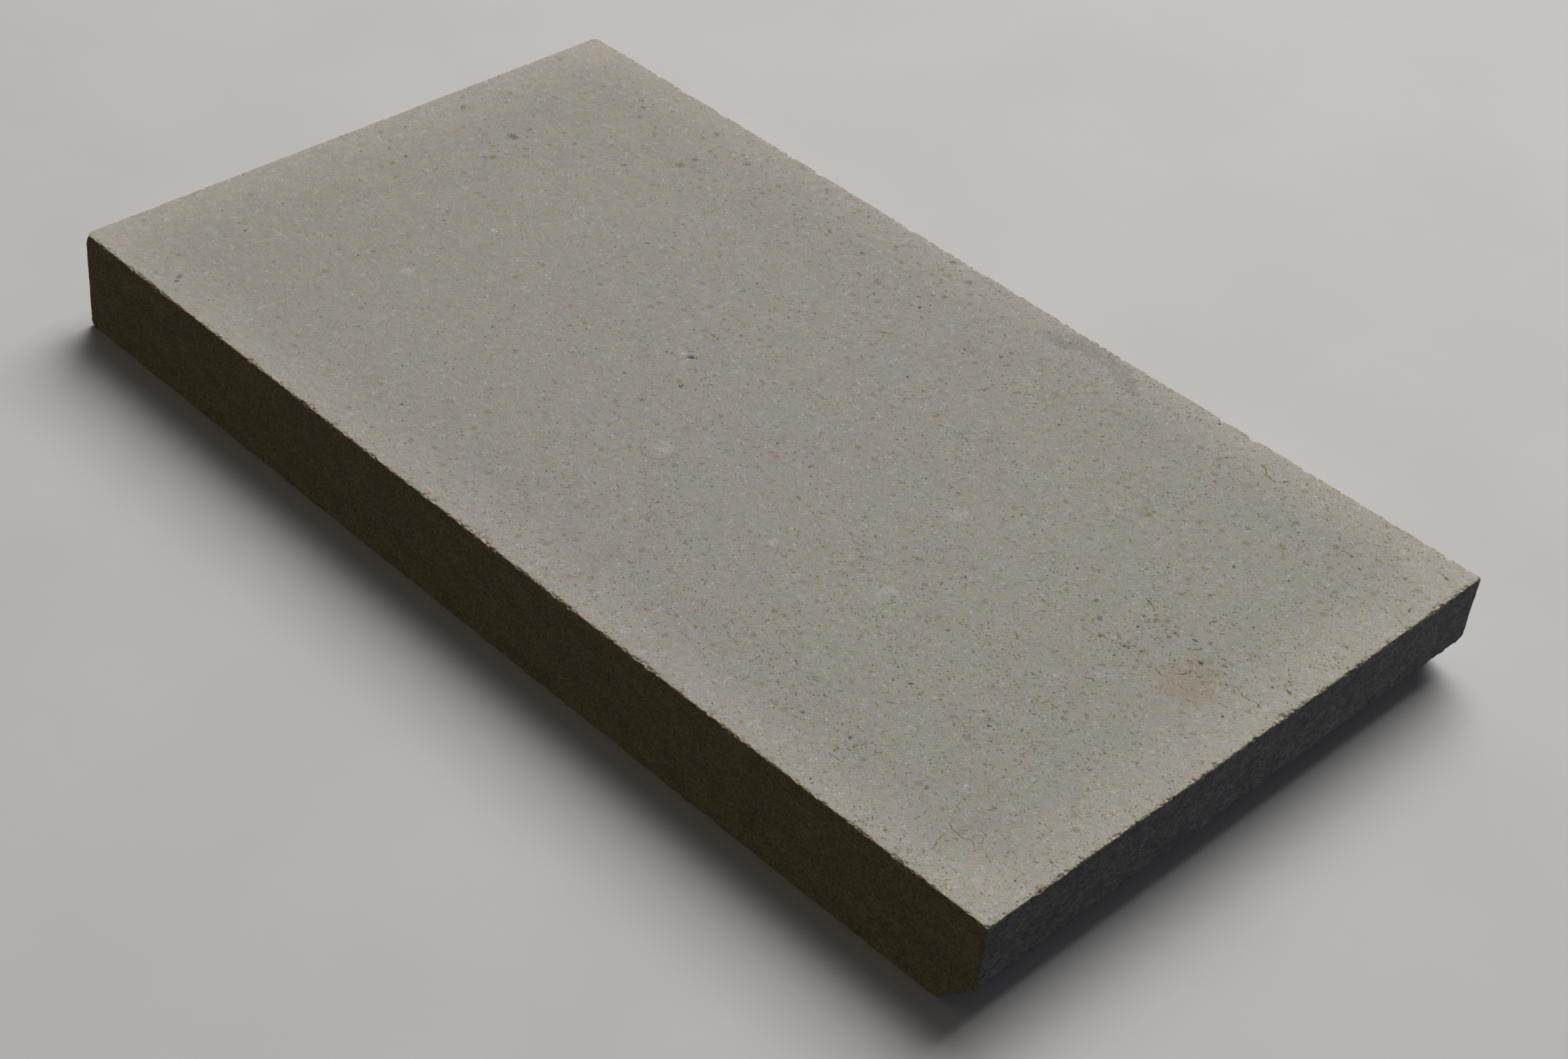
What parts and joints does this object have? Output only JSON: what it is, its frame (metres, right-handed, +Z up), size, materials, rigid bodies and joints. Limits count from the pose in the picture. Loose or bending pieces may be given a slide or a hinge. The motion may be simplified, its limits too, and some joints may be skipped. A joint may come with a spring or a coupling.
{
  "type": "stove firebrick",
  "caption": "Flat rectangular slab of fired fireclay for lining a stove, with crisp arrises and a bevel under its nose end.",
  "frame": {"origin": "middle of the full rectangle that the underside lies in, on the surface the brick rests on", "axes": "+X along the length towards the bevelled nose end, +Y across the width, +Z up through the thickness to the face that shows"},
  "size_m": [0.274, 0.154, 0.025],
  "materials": {
    "fireclay": "matte"
  },
  "bodies": {
    "root": {"firebrick": "fireclay"}
  },
  "joints": []
}
